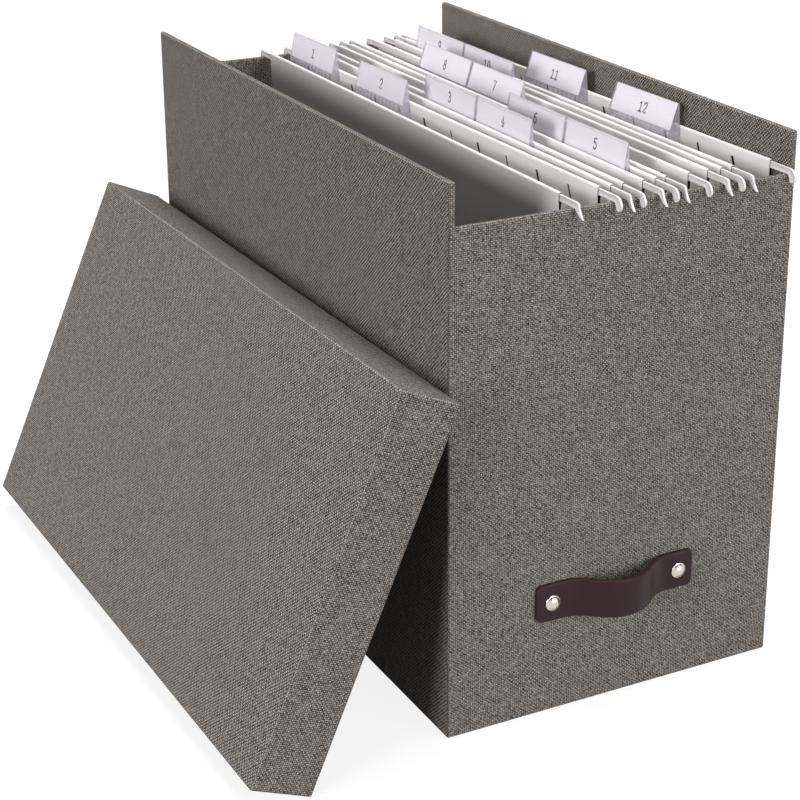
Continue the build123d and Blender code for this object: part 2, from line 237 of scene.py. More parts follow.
def point_values(piece, name, values):
    """Stores one number for every point of a piece, for its material to read."""
    layer = piece.data.attributes.new(name, "FLOAT", "POINT")
    layer.data.foreach_set("value", np.asarray(values, np.float32))


def ring_faces(rows, columns, closed=True):
    """Quads between neighbouring rows of a grid of points, whose columns may close on themselves."""
    i = np.arange(rows - 1)[:, None] * columns
    j = np.arange(columns if closed else columns - 1)[None, :]
    k = (j + 1) % columns
    return np.stack([i + j, i + k, i + columns + k, i + columns + j], -1).reshape(-1, 4)


# Boards. The box and the lid are built of solid greyboard, grey pressed pulp with darker flecks.
# Only its cut edges could ever show, where the wrapping is thin.
board_fleck = 0.8 * MM


def pressed_greyboard():
    """Grey pulp board: an even matt grey with fine darker and paler flecks."""
    material, tree = new_material("pressed_greyboard")
    flecks = noise(tree, add_node(tree, "TexCoord").outputs["Object"], 1 / board_fleck, 4.0)
    tone = blend(tree, flecks, linear("#7C7770"), linear("#A39D94"))
    relief = bumps(tree, 0.15, 0.05 * MM, flecks)
    return with_surface(material, tree, {"Base Color": tone, "Roughness": 0.9, "Normal": relief})


greyboard = pressed_greyboard()
for node_name in ("base_board", "front_end_board", "back_end_board", "left_side_board", "right_side_board",
                  "lid_top_board", "lid_lower_skirt", "lid_upper_skirt", "lid_front_skirt", "lid_back_skirt"):
    dress(node_name, greyboard)


# Cover. A paper laminated over a plain weave of paper yarns, about one thread to the millimetre each way.
# The yarns vary in shade and thickness, so the cloth has pale knots, dark gaps and faint streaks both ways.
warp_pitch = 1.06 * MM
weft_pitch = 0.98 * MM
slub = 0.75 * MM
fibre = 0.30 * MM
yarn_dark = "#2C2926"
yarn_light = "#C6BFB7"
yarn_mean = 0.30
yarn_crown = 0.16 * MM
knot_rise = 0.35
# painted shade: how much stronger the over and under of the yarns is painted on the long sides
graze = 1.3

# A face is a side or a top where that part of its normal is past face_cut. The line at an upright corner
# darkens while the lesser of the normal's two level parts passes through seam_bend.
face_cut = 0.7
seam_bend = (0.45, 0.65)
seam_shade = 0.7

# noise: how far the yarns wander, in threads, and how many blotches lie in a metre, or in a thread for the
# two kinds of streak
wander_threads = 0.7
wander_scale = 90.0
mottle_scale = 45.0
upright_scale = (0.71, 75.0, 1.0)
level_scale = (110.0, 0.67, 1.0)


def plain_weave_paper(name, turn, seam=0.0):
    """Woven paper in the frame given by turn, an XYZ rotation: its threads lie square to the panel's edges.

    Each panel's own two axes are chosen by its normal. Where the product of the sines of the two thread
    counts is positive the upright yarn is on top, where negative the level one, and near zero is the gap.
    """
    material, tree = new_material(name)
    place = add_node(tree, "TexCoord").outputs
    at = add_node(tree, "Mapping", {"Vector": place["Object"], "Rotation": turn}).outputs[0]
    facing = add_node(tree, "Mapping", {"Vector": place["Normal"], "Rotation": turn}, vector_type="VECTOR")
    size = add_node(tree, "VectorMath", {0: facing.outputs[0]}, operation="ABSOLUTE")
    point = add_node(tree, "SeparateXYZ", {0: at}).outputs
    normal = add_node(tree, "SeparateXYZ", {0: size.outputs[0]}).outputs
    on_side = calc(tree, "GREATER_THAN", normal["X"], face_cut)
    on_top = calc(tree, "GREATER_THAN", normal["Z"], face_cut)
    across = add_node(tree, "Mix", {"Factor": on_side, "A": point["X"], "B": point["Y"]}).outputs["Result"]
    upward = add_node(tree, "Mix", {"Factor": on_top, "A": point["Z"], "B": point["Y"]}).outputs["Result"]

    # the yarns wander a little to either side, by up to a third of a thread
    wander = add_node(tree, "TexNoise", {"Vector": at, "Scale": wander_scale, "Detail": 2.0})
    drift = add_node(tree, "SeparateColor", {0: wander.outputs["Color"]})
    waves = []
    threads = []
    for along, pitch, channel in ((across, warp_pitch, 0), (upward, weft_pitch, 1)):
        straight = calc(tree, "MULTIPLY", along, 1 / pitch)
        count = calc(tree, "MULTIPLY_ADD", drift.outputs[channel], wander_threads, straight)
        waves.append(calc(tree, "SINE", calc(tree, "MULTIPLY", count, math.pi)))
        threads.append(calc(tree, "FLOOR", count))
    over = calc(tree, "MULTIPLY", *waves)
    crown = calc(tree, "POWER", calc(tree, "ABSOLUTE", over), 0.5)

    # each crossing differs, each yarn differs along its length, and the whole sheet is faintly mottled
    crossing = add_node(tree, "CombineXYZ", {0: threads[0], 1: threads[1], 2: on_side})
    knot = add_node(tree, "TexWhiteNoise", {"Vector": crossing.outputs[0]}, noise_dimensions="3D")
    knot = knot.outputs["Value"]
    upright_at = add_node(tree, "CombineXYZ", {0: threads[0], 1: upward})
    level_at = add_node(tree, "CombineXYZ", {0: across, 1: threads[1]})
    streaks = []
    for streak_at, streak_scale in ((upright_at, upright_scale), (level_at, level_scale)):
        scaled = add_node(tree, "VectorMath", {0: streak_at.outputs[0], 1: streak_scale},
                          operation="MULTIPLY")
        streaks.append(noise(tree, scaled.outputs[0], 1.0, 2.0))
    mottle = noise(tree, at, mottle_scale, 3.0)
    slubs = noise(tree, at, 1 / slub, 0.0)
    hairs = noise(tree, at, 1 / fibre, 1.0)

    # painted shade: the over and under of the yarns is painted stronger on the long sides, as the light that
    # grazes them would bring it out
    painted_graze_gain = calc(tree, "MULTIPLY_ADD", on_side, graze, 1.0)
    over_with_painted_graze = calc(tree, "MULTIPLY", over, painted_graze_gain)

    # the shade is the sum of these, each taken from its own middle value and weighted
    shade = yarn_mean
    for source, weight, middle in (
        (over_with_painted_graze, 0.17, 0.0),
        (crown, 0.70, 0.60),
        (knot, 0.23, 0.5),
        (slubs, 0.60, 0.5),
        (hairs, 0.60, 0.5),
        (streaks[0], 0.14, 0.5),
        (streaks[1], 0.10, 0.5),
        (mottle, 0.05, 0.5),
    ):
        shade = calc(tree, "MULTIPLY_ADD", calc(tree, "SUBTRACT", source, middle), weight, shade)
    cloth = blend(tree, shade, linear(yarn_dark), linear(yarn_light), clamp_factor=True)

    # along an upright corner two sheets meet in a thin dark line
    corner = calc(tree, "MINIMUM", normal["X"], normal["Y"])
    tone = blend(tree, remap(tree, corner, 0.0, seam, seam_bend), cloth, linear(yarn_dark))
    relief = bumps(tree, 0.55, yarn_crown, calc(tree, "MULTIPLY_ADD", knot, knot_rise, crown))
    return with_surface(material, tree, {
        "Base Color": tone, "Roughness": 0.78, "Specular IOR Level": 0.10, "Normal": relief,
    })


dress("outer_cover", plain_weave_paper("plain_weave_paper_box", (0, 0, 0), seam=seam_shade))


# Linings. Plain dark uncoated paper is pasted on the floor, round the walls and over the underside.
# It is smooth and matt, with the faint cloudiness of long-fibred paper.
def uncoated_dark_paper():
    """Dark grey-brown paper with soft clouds a few millimetres across and a fibrous surface."""
    material, tree = new_material("uncoated_dark_paper")
    place = add_node(tree, "TexCoord").outputs["Object"]
    tone = blend(tree, noise(tree, place, 220.0, 5.0), linear("#34312F"), linear("#403D3A"))
    relief = bumps(tree, 0.2, 0.04 * MM, noise(tree, place, 2600.0, 3.0))
    return with_surface(material, tree, {
        "Base Color": tone, "Roughness": 0.85, "Specular IOR Level": 0.1, "Normal": relief,
    })


dark_paper = uncoated_dark_paper()
for node_name in ("base_sheet", "floor_lining", "wall_lining", "lid_lining"):
    dress(node_name, dark_paper)


# Strap handle. One length of aubergine-brown leather, bowed out from the near end wall and riveted at its
# ends. Its face is smooth and lightly waxed, and its cut edges are rounded over and burnished redder.
strap_length = 89.5 * MM
strap_width = 20.0 * MM
strap_thick = 2.8 * MM
strap_corner = 3.5 * MM
strap_edge = 1.1 * MM
crease_inset = 1.9 * MM
crease_half_mm = 0.45
burnish_mm = (0.2, 0.9)
grain_rise = 0.6
crease_sink = -2.5
bow_out = 13.0 * MM
bow_reach = 31.0 * MM

# how the rings close in on the strap's middle, and how a ring's points are spread round its two ends
ring_spread = 0.8
end_bunch = 0.25
end_overrun = 1.02
end_turn = 4.0

strap_low, strap_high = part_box("handle_strap")
strap_centre = (strap_low + strap_high) / 2
wall_y = strap_high.y


def bow_height(s):
    """Height of the strap off the wall at s along it: an arc at each foot meets one over the top halfway up.

    With reach b and height h, each arc has radius ((b/2)^2 + (h/2)^2) / h.
    """
    half = bow_reach / 2
    radius = (half ** 2 + (bow_out / 2) ** 2) / bow_out
    away = np.abs(s)
    foot = radius - np.sqrt(np.maximum(radius ** 2 - np.clip(bow_reach - away, 0, half) ** 2, 0))
    top = bow_out - radius + np.sqrt(np.maximum(radius ** 2 - np.clip(away, 0, half) ** 2, 0))
    return np.where(away >= half, foot, top)


def strap_surface(around=360, rounding=7, inward=9):
    """Closed strap: rings that follow the outline, from the outer face over the edge to the inner face.

    A ring at inset d is the rounded rectangle drawn in by d. The edge is a half round of radius strap_edge
    with a flat between, and both faces close on the strap's centre line. Then every point is lifted along the
    bow's normal. Round a ring the points run along the two long edges by a cosine, held at the ends where it
    is stretched past one, and cross each end by a tangent held between the two edges.
    """
    half_l, half_w, half_t = strap_length / 2, strap_width / 2, strap_thick / 2
    quarter = np.linspace(0, np.pi / 2, rounding)
    face_insets = half_w - (half_w - strap_edge) * np.linspace(0, 1, inward) ** ring_spread
    edge_insets = strap_edge * (1 - np.sin(quarter))
    insets = np.concatenate([face_insets[:-1], edge_insets, edge_insets[::-1], face_insets[:-1][::-1]])
    rise = half_t - strap_edge + strap_edge * np.cos(quarter)
    heights = np.concatenate([np.full(inward - 1, half_t), rise, -rise[::-1], np.full(inward - 1, -half_t)])
    outline = np.linspace(0, 2 * np.pi, around, endpoint=False)
    stretched = np.cos(outline) * (1 + end_bunch * np.sin(outline) ** 2) * end_overrun
    straight = np.clip(stretched, -1, 1)
    end_side = np.clip(np.tan(outline) * np.sign(np.cos(outline)) * end_turn, -1, 1)
    side = np.where(np.abs(stretched) >= 1, end_side, np.sign(np.sin(outline)))
    rings = []
    for inset, height in zip(insets, heights):
        l, w = half_l - inset, half_w - inset
        corner = min(max(strap_corner - inset, 0.0), w)
        s = l * straight
        past = np.maximum(np.abs(s) - (l - corner), 0)
        edge = (w - corner) + np.sqrt(np.maximum(corner ** 2 - past ** 2, 0))
        rings.append(np.stack([s, side * edge, np.full(around, height)], -1))
    flat = np.concatenate(rings)
    step = 0.1 * MM
    slope = (bow_height(flat[:, 0] + step) - bow_height(flat[:, 0] - step)) / (2 * step)
    length = np.sqrt(1 + slope ** 2)
    x = flat[:, 0] - flat[:, 2] * slope / length
    out = bow_height(flat[:, 0]) + flat[:, 2] / length
    points = np.stack([strap_centre.x + x, wall_y - half_t - out, strap_centre.z + flat[:, 1]], -1)
    faces = ring_faces(len(insets), around)
    return points, faces, np.repeat(insets / MM, around)


def waxed_bridle_leather():
    """Dark aubergine leather, dressed with wax: a low sheen over a fine grain, redder at the cut edge."""
    material, tree = new_material("waxed_bridle_leather")
    place = add_node(tree, "TexCoord").outputs["Object"]
    grain = add_node(tree, "TexVoronoi", {"Vector": place, "Scale": 2200.0}, feature="SMOOTH_F1")
    pores = noise(tree, place, 900.0, 6.0)
    hide = blend(tree, noise(tree, place, 90.0, 3.0), linear("#231316"), linear("#2C1A1E"))
    raw = blend(tree, pores, linear("#2A1A1B"), linear("#3A2321"))
    inset = add_node(tree, "Attribute", attribute_name="inset_mm").outputs["Fac"]
    tone = blend(tree, remap(tree, inset, 1.0, 0.0, burnish_mm), hide, raw)
    off_line = calc(tree, "ABSOLUTE", calc(tree, "SUBTRACT", inset, crease_inset / MM))
    crease = remap(tree, off_line, 1.0, 0.0, (0.0, crease_half_mm), interpolation_type="SMOOTHSTEP")
    texture = calc(tree, "MULTIPLY_ADD", grain.outputs["Distance"], grain_rise, pores)
    texture = calc(tree, "MULTIPLY_ADD", crease, crease_sink, texture)
    return with_surface(material, tree, {
        "Base Color": tone, "Roughness": remap(tree, pores, 0.36, 0.56), "Specular IOR Level": 0.20,
        "Normal": bumps(tree, 0.3, 0.08 * MM, texture),
    })


points, faces, insets = strap_surface()
strap = make_piece("strap", points, faces, waxed_bridle_leather(), "box", "leather")
point_values(strap, "inset_mm", insets)
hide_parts("handle_strap")


# Rivets. Two tubular rivets of nickel-plated brass hold the strap. Each has a low polished dome with a rolled
# rim, and is set in a flat cap on the inside of the wall.
rivet_radius = 4.1 * MM
rivet_dome = 2.1 * MM
rivet_rim = 0.55 * MM
rivet_reach = 36.15 * MM


def dome_surface(centre, around=64, rings=22):
    """A spinning profile: up the rolled rim by a quarter round, then a spherical cap closing at the crown."""
    turn = np.linspace(0, np.pi / 2, 7)
    r_rim = rivet_radius - rivet_rim + rivet_rim * np.cos(turn)
    h_rim = rivet_rim * np.sin(turn)
    r_cap = (rivet_radius - rivet_rim) * np.cos(np.linspace(0, np.pi / 2, rings))[1:]
    cap_high = rivet_dome - rivet_rim
    curve = ((rivet_radius - rivet_rim) ** 2 + cap_high ** 2) / (2 * cap_high)
    h_cap = rivet_dome - curve + np.sqrt(curve ** 2 - r_cap ** 2)
    r = np.concatenate([[0.0], [rivet_radius], r_rim[1:], r_cap[:-1], [0.0]])
    h = np.concatenate([[0.0], [0.0], h_rim[1:], h_cap[:-1], [rivet_dome]])
    angle = np.linspace(0, 2 * np.pi, around, endpoint=False)
    x = centre.x + r[:, None] * np.cos(angle)
    z = centre.z + r[:, None] * np.sin(angle)
    y = np.broadcast_to(centre.y - h[:, None], x.shape)
    return np.stack([x, y, z], -1).reshape(-1, 3), ring_faces(len(r), around)


def polished_nickel_plate():
    """Bright nickel plate: a warm grey mirror with the soft haze of fine handling marks."""
    material, tree = new_material("polished_nickel_plate")
    marks = noise(tree, add_node(tree, "TexCoord").outputs["Object"], 1400.0, 4.0)
    return with_surface(material, tree, {
        "Base Color": linear("#CFC8BD"), "Metallic": 1.0, "Roughness": remap(tree, marks, 0.14, 0.30),
    })


nickel = polished_nickel_plate()
dress("rivet_backs", nickel)
rivet_places = [
    Vector((strap_centre.x + side * rivet_reach, wall_y - strap_thick, strap_centre.z)) for side in (-1, 1)
]
domes = [dome_surface(place) for place in rivet_places]
points = np.concatenate([dome[0] for dome in domes])
faces = np.concatenate([domes[0][1], domes[1][1] + len(domes[0][0])])
rivets = make_piece("rivet_heads", points, faces, nickel, "box", "nickel")
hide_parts("handle_rivets")


# Folders' card. Each folder is one sheet of white card, folded flat at the foot and hemmed over its rails.
# The fold over a rail is soft and round, the flaps are glued down, and the back hem has a row of slots.
card_thick = 0.4 * MM
hem_half = 0.85 * MM
hem_top = 260.1 * MM
hem_foot = 241.1 * MM
shoulder = 255.7 * MM
flap_half = 0.25 * MM
card_foot = 16.0 * MM
foot_half = 2.5 * MM
card_reach = 162.0 * MM
slot_pitch = 28.2 * MM
slot_half = 1.05 * MM
slot_slant = 3.0 * MM
slot_foot = 246.1 * MM
slot_middle = 250.6 * MM
slot_top = 255.1 * MM
leaf_bow = 0.7 * MM
rail_tip = 1.5 * MM


def rail_line(node_name):
    """X of a rail's middle at Y = 0 and its slope, read from the middles of the solid rail's two ends."""
    points = np.array([v.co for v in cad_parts[node_name].data.vertices])
    ends = []
    for way in (-1, 1):
        tip = points[points[:, 1] * way > (points[:, 1] * way).max() - rail_tip]
        ends.append(((tip[:, 0].min() + tip[:, 0].max()) / 2, tip[:, 1].mean()))
    slope = (ends[1][0] - ends[0][0]) / (ends[1][1] - ends[0][1])
    return ends[0][0] - slope * ends[0][1], slope


def hem_profile(side, slotted):
    """Middle line of one hem as (x from the rail, z): up the flap, round a half circle, and down to the leaf.

    The flap is on the side given, and between foot and shoulder the hem's half width tapers evenly.
    """
    levels = [hem_foot, slot_foot, slot_middle, slot_top, shoulder] if slotted else [hem_foot, shoulder]
    taper = flap_half + (hem_half - flap_half) * (np.array(levels) - hem_foot) / (shoulder - hem_foot)
    up = np.stack([side * taper, levels], -1)
    turn = np.linspace(0, np.pi, 11)
    over = np.stack([side * hem_half * np.cos(turn), hem_top - hem_half + hem_half * np.sin(turn)], -1)
    return np.concatenate([up, over, up[::-1] * (-1, 1)])


def card_surface(front, back, slot_places):
    """The folded sheet along Y: its cross-section's middle line, with half the card to either side.

    Each station's line runs front hem, leaf, flat fold, leaf, back hem, and the leaves bow out gently between
    the hems and the fold by a product of sines. Where a slot is punched the skin is left out and its four
    walls put in. Going down a slot, its points shift evenly towards -Y, so the slots slant.
    """
    edges = np.concatenate([slot_places - slot_half, slot_places + slot_half])
    stations = np.unique(np.concatenate([np.linspace(-card_reach, card_reach, 41), edges]))
    front_hem = hem_profile(1, False)
    back_hem = hem_profile(-1, True)[::-1]
    fall = np.linspace(0, 1, 10)[1:-1]
    lines = []
    for y in stations:
        front_x = front[0] + front[1] * y
        back_x = back[0] + back[1] * y
        middle = (front_x + back_x) / 2
        bow = leaf_bow * math.cos(math.pi * y / (2 * card_reach)) * np.sin(math.pi * fall)
        levels = hem_foot + (card_foot - hem_foot) * fall
        leaf_1 = front_x - flap_half + (middle - foot_half - front_x + flap_half) * fall - bow
        leaf_2 = back_x + flap_half + (middle + foot_half - back_x - flap_half) * fall + bow
        fold = [(middle - foot_half, card_foot), (middle + foot_half, card_foot)]
        lines.append(np.concatenate([
            front_hem + (front_x, 0), np.stack([leaf_1, levels], -1), fold,
            np.stack([leaf_2, levels], -1)[::-1], back_hem + (back_x, 0),
        ]))
    lines = np.array(lines)
    run = np.gradient(lines, axis=1)
    run /= np.linalg.norm(run, axis=2, keepdims=True)
    side = np.stack([-run[..., 1], run[..., 0]], -1) * card_thick / 2
    skins = np.stack([lines + side, lines - side], 1)
    rows, sheets, count = skins.shape[:3]

    # the slots' tops stay, their feet shift by the whole slant, and nothing below them moves
    depth = (slot_top - lines[..., 1]) / (slot_top - slot_foot)
    shift = -slot_slant * np.where(depth < 1.001, np.clip(depth, 0, 1), 0)
    shift[[0, -1]] = 0
    shift[:, :-len(back_hem)] = 0
    y = np.broadcast_to((stations[:, None] + shift)[:, None], (rows, sheets, count))
    points = np.stack([skins[..., 0] + back[1] * shift[:, None], y, skins[..., 1]], -1)

    # a point's number is (row * 2 + skin) * count + its place along the line
    j, i = np.meshgrid(np.arange(rows - 1), np.arange(count - 1), indexing="ij")
    place = (2 * j * count + i).ravel()
    skin = np.stack([place, place + 1, place + 2 * count + 1, place + 2 * count], -1)
    level = (lines[0, :-1, 1] + lines[0, 1:, 1]) / 2
    slot_runs = np.flatnonzero((np.arange(count - 1) >= count - 1 - len(back_hem)) & (level > slot_foot)
                               & (level < slot_top))
    centres = (stations[:-1] + stations[1:]) / 2
    slot_rows = np.flatnonzero(np.abs(centres[:, None] - slot_places[None, :]).min(1) < slot_half / 2)
    punched = (np.isin(j, slot_rows) & np.isin(i, slot_runs)).ravel()
    far, near = place[punched] + 2 * count, place[punched]
    walls = [
        np.stack([near, near + count, near + count + 1, near + 1], -1),
        np.stack([far, far + 1, far + count + 1, far + count], -1),
        np.stack([near, far, far + count, near + count], -1),
        np.stack([near + 1, near + count + 1, far + count + 1, far + 1], -1),
    ]
    k = np.arange(rows - 1) * 2 * count
    last = k + count - 1
    m = np.arange(count - 1)
    end = (rows - 1) * 2 * count + m
    rims = [
        np.stack([k, k + 2 * count, k + 3 * count, k + count], -1),
        np.stack([last, last + count, last + 3 * count, last + 2 * count], -1),
        np.stack([m, m + count, m + count + 1, m + 1], -1),
        np.stack([end, end + 1, end + count + 1, end + count], -1),
    ]
    faces = np.concatenate([skin[~punched], skin[~punched][:, ::-1] + count] + walls + rims)
    # the inner faces of each hem are marked for painted shade
    hem_shade_mask = np.zeros((rows, sheets, count))
    hem_shade_mask[:, 0, 1:len(front_hem) - 1] = 1
    hem_shade_mask[:, 0, -len(back_hem) + 1:-1] = 1
    return points.reshape(-1, 3), faces, hem_shade_mask.ravel()


def white_folder_card():
    """Stiff white card, smooth and matt, with faint clouds and fibres, and painted shade, near black, inside
    each hem.
    """
    material, tree = new_material("white_folder_card")
    place = add_node(tree, "TexCoord").outputs["Object"]
    white = blend(tree, noise(tree, place, 130.0, 4.0), linear("#F1EDED"), linear("#F8F6F5"))
    painted_hem_shade = add_node(tree, "Attribute", attribute_name="hem_shade_mask").outputs["Fac"]
    # painted shade: the inside of every hem is coloured near black, for the shadow seen through its slots
    tone = blend(tree, painted_hem_shade, white, linear("#1B191B"))
    relief = bumps(tree, 0.12, 0.03 * MM, noise(tree, place, 3200.0, 2.0))
    return with_surface(material, tree, {
        "Base Color": tone, "Roughness": 0.62, "Specular IOR Level": 0.3, "Normal": relief,
    })


# Rails. White moulded plastic bars of I section, one in each hem, that lie across the rims of the end walls.
# The front rails end in slanted beaks, and the back rails in rounded drops.
rail_half = 0.55 * MM
flange = 0.50 * MM
web_in = 0.25 * MM
flange_round = 0.12 * MM
tip_half = 0.3 * MM
tip_flare = 0.4
tip_hold = 0.3
wall_face = 175.0 * MM
far_reach = 0.78

# pairs of points on the upper and the lower edge, (Y, Z) from the middle of the box out to the hook's tip
beak_upper = np.array([
    (0, 259.4), (176.0, 259.4), (177.2, 259.25), (177.9, 258.8), (178.3, 258.0),
    (178.6, 256.9), (179.4, 255.4), (180.6, 253.8), (182.0, 252.3),
]) * MM
beak_lower = np.array([
    (0, 256.1), (174.0, 256.1), (175.3, 256.05), (175.9, 255.6), (176.6, 255.0),
    (177.5, 254.3), (178.6, 253.6), (180.0, 252.8), (181.4, 252.0),
]) * MM
drop_upper = np.array([
    (0, 259.4), (176.0, 259.4), (178.0, 259.0), (179.4, 258.0), (180.3, 256.8),
    (180.8, 255.5), (180.7, 254.3), (180.0, 253.2), (179.0, 252.6),
]) * MM
drop_lower = np.array([
    (0, 256.1), (174.0, 256.1), (175.3, 256.05), (175.8, 255.5), (176.2, 254.9),
    (176.5, 254.3), (176.8, 253.7), (177.2, 253.1), (177.9, 252.6),
]) * MM


def smooth_run(points, steps):
    """A smooth line through points: each stretch is a cubic that blends the four points nearest to it."""
    padded = np.concatenate([2 * points[:1] - points[1:2], points, 2 * points[-1:] - points[-2:-1]])
    t = np.linspace(0, 1, steps, endpoint=False)[:, None]
    parts = []
    for a, b, c, d in zip(padded, padded[1:], padded[2:], padded[3:]):
        parts.append(0.5 * (2 * b + (c - a) * t + (2 * a - 5 * b + 4 * c - d) * t ** 2
                            + (3 * b - a - 3 * c + d) * t ** 3))
    return np.concatenate(parts + [points[-1:]])


def rail_surface(line, upper, lower):
    """A bar of I section between its upper and lower edges, from one hook's tip over the box to the other's.

    At every pair of points on the two edges the section has two flanges of fixed height with a thinner web
    between, mirrored front to back. Where the bar narrows to its tips, these are held to three tenths of its
    half height. Both ends close on a point. The rails hang a little towards the near end, so the far hooks
    reach less far past the wall.
    """
    pairs = np.column_stack([upper, lower])
    near = np.concatenate([pairs[:1], smooth_run(pairs[1:], 4)])
    far = near.copy()
    far[:, ::2] -= np.maximum(far[:, ::2] - wall_face, 0) * (1 - far_reach)
    whole = np.concatenate([near[::-1] * (-1, 1, -1, 1), far[1:]])
    middle = (whole[:, :2] + whole[:, 2:]) / 2
    across = (whole[:, :2] - whole[:, 2:]) / 2
    h = np.linalg.norm(across, axis=1)
    across /= h[:, None]
    lip, nip, step = (np.minimum(size, tip_hold * h) for size in (flange, flange_round, web_in))
    thick = np.minimum(rail_half, tip_half + tip_flare * h)
    heights = np.stack([h, h - nip, h - lip - nip, h - lip - nip - step], -1)
    depths = np.stack([thick - nip, thick, thick, thick - step], -1)
    a = np.concatenate([heights, -heights[:, ::-1], -heights, heights[:, ::-1]], 1)
    b = np.concatenate([depths, depths[:, ::-1], -depths, -depths[:, ::-1]], 1)
    u = middle[:, :1] + across[:, :1] * a
    z = middle[:, 1:] + across[:, 1:] * a
    lean = 1 / math.hypot(1, line[1])
    x = line[0] + line[1] * lean * u + b * lean
    y = u * lean - b * line[1] * lean
    points = np.stack([x, y, z], -1)
    count = points.shape[1]
    tips = [points[0].mean(0), points[-1].mean(0)]
    faces = ring_faces(len(points), count)
    n = points.shape[0] * count
    j = np.arange(count)
    k = (j + 1) % count
    start = np.stack([np.full(count, n), k, j], -1)
    finish = np.stack([np.full(count, n + 1), j + n - count, k + n - count], -1)
    return np.concatenate([points.reshape(-1, 3), tips]), [*faces, *start, *finish]


def moulded_white_polystyrene():
    """White moulded plastic: slightly glossy, with the soft unevenness of a moulding."""
    material, tree = new_material("moulded_white_polystyrene")
    flow = noise(tree, add_node(tree, "TexCoord").outputs["Object"], 260.0, 2.0)
    tone = blend(tree, flow, linear("#E4E1E1"), linear("#EEEBEB"))
    relief = bumps(tree, 0.1, 0.05 * MM, flow)
    return with_surface(material, tree, {"Base Color": tone, "Roughness": 0.34, "Normal": relief})


# Tabs. Each is a prism folded of clear plastic: a sloping front leaf over the label, a sharp ridge, a short
# back leaf, two end walls, and two tongues that clip into the slots. Below the label the front is ribbed.
film = 0.24 * MM
film_gap = 0.1 * MM
tab_half = 27.9 * MM
window_reach = 5.6 * MM
rib_pitch = 4.4 * MM
rib_fade = 0.3 * MM
tongue_half = 0.3 * MM
tongue_tall = 5.0 * MM
tongue_reach = 0.9 * MM
heel_drop = 0.3 * MM
# painted reflection: the extra pale veil on the tab's end walls
painted_wall_veil = 0.3


def prism(outline, across, along, start, end):
    """A closed prism: an outline of (across, z) points at start and at end along it, each end a fan of quads.

    Its faces point outwards where the outline's signed area has the sign of the step from start to end, and
    are turned round where it has not.
    """
    outline = np.asarray(outline, float)
    n = len(outline)
    rings = [outline[:, :1] * across + outline[:, 1:] * (0, 0, 1) + along * s for s in (start, end)]
    faces = [[k, (k + 1) % n, n + (k + 1) % n, n + k] for k in range(n)]
    for k in range(1, n - 1, 2):
        corners = [0, k, k + 1, min(k + 2, n - 1)] if k + 2 < n else [0, k, k + 1]
        faces.append(corners[::-1])
        faces.append([n + c for c in corners])
    following = np.roll(outline, -1, axis=0)
    area = (outline[:, 0] * following[:, 1] - outline[:, 1] * following[:, 0]).sum()
    if area * (end - start) < 0:
        faces = [face[::-1] for face in faces]
    return np.concatenate(rings), faces


def joined(solids):
    """Several lists of points and faces as one."""
    points = []
    faces = []
    for more, quads in solids:
        faces.extend([len(points) + int(c) for c in face] for face in quads)
        points.extend(more)
    return np.array(points), faces


def slip_frame(slip):
    """A label's centre, its axes (reading direction, up the slope, outwards), and its half size on each."""
    centre = (slip.min(0) + slip.max(0)) / 2
    axes = np.linalg.svd(slip - slip.mean(0), full_matrices=False)[2]
    read = axes[0] * -np.sign(axes[0][1])
    rise = axes[1] * np.sign(axes[1][2])
    axes = np.array([read, rise, np.cross(read, rise)])
    return centre, axes, np.abs((slip - centre) @ axes.T).max(0)


def tab_surface(centre, axes, half, ridge_z, hem_x):
    """The tab's solids about its label's centre, in the upright plane square to its reading direction.

    The front leaf runs down the label's slope from the ridge, and the back leaf from the ridge to the hem's
    face. Returns the points and faces, and marks the points of the ribbed window and of the end walls.
    """
    read, rise, out = axes
    across = np.array([-read[1], read[0], 0])
    slope = np.array([rise @ across, rise[2]])
    face = np.array([out @ across, out[2]]) * (half[2] + film_gap + film / 2)
    ridge = face + slope * (ridge_z - film - centre[2] - face[1]) / slope[1]
    foot = face - slope * (half[1] + window_reach)
    heel = np.array([hem_x, slot_top - centre[2] - heel_drop])
    front = np.array([out @ across, out[2]]) * film / 2
    down = (heel - ridge) / np.linalg.norm(heel - ridge)
    back = np.array([-down[1], down[0]]) * film / 2
    knees = [face - slope * (half[1] + drop) for drop in (rib_fade, 0)]
    path = np.array([foot, *knees, ridge])
    leaf_1 = np.concatenate([path + front, (path - front)[::-1]])
    leaf_2 = [heel + back, ridge + back, ridge - back, heel - back]
    solids = [prism(leaf, across, read, -tab_half, tab_half) for leaf in (leaf_1, leaf_2)]
    wall_starts = []
    for side in (-1, 1):
        wall = [foot - front, ridge - front, heel]
        wall_starts.append(sum(len(solid[0]) for solid in solids))
        solids.append(prism(wall, across, read, side * tab_half, side * (tab_half - film)))
        tongue = [(heel[0], heel[1] - tongue_tall), (heel[0] + tongue_reach, heel[1] - tongue_tall),
                  (heel[0] + tongue_reach, heel[1]), (heel[0], heel[1])]
        middle = side * slot_pitch / 2
        solids.append(prism(tongue, across, read, middle - tongue_half, middle + tongue_half))
    points, faces = joined(solids)
    below = -half[1] - points @ rise
    in_window = (below > rib_fade / 2) & (np.abs(points @ out - half[2]) < 2 * film)
    end_wall = np.zeros(len(points))
    end_wall[[first + k for first in wall_starts for k in range(6)]] = 1
    return points + centre, faces, in_window, end_wall


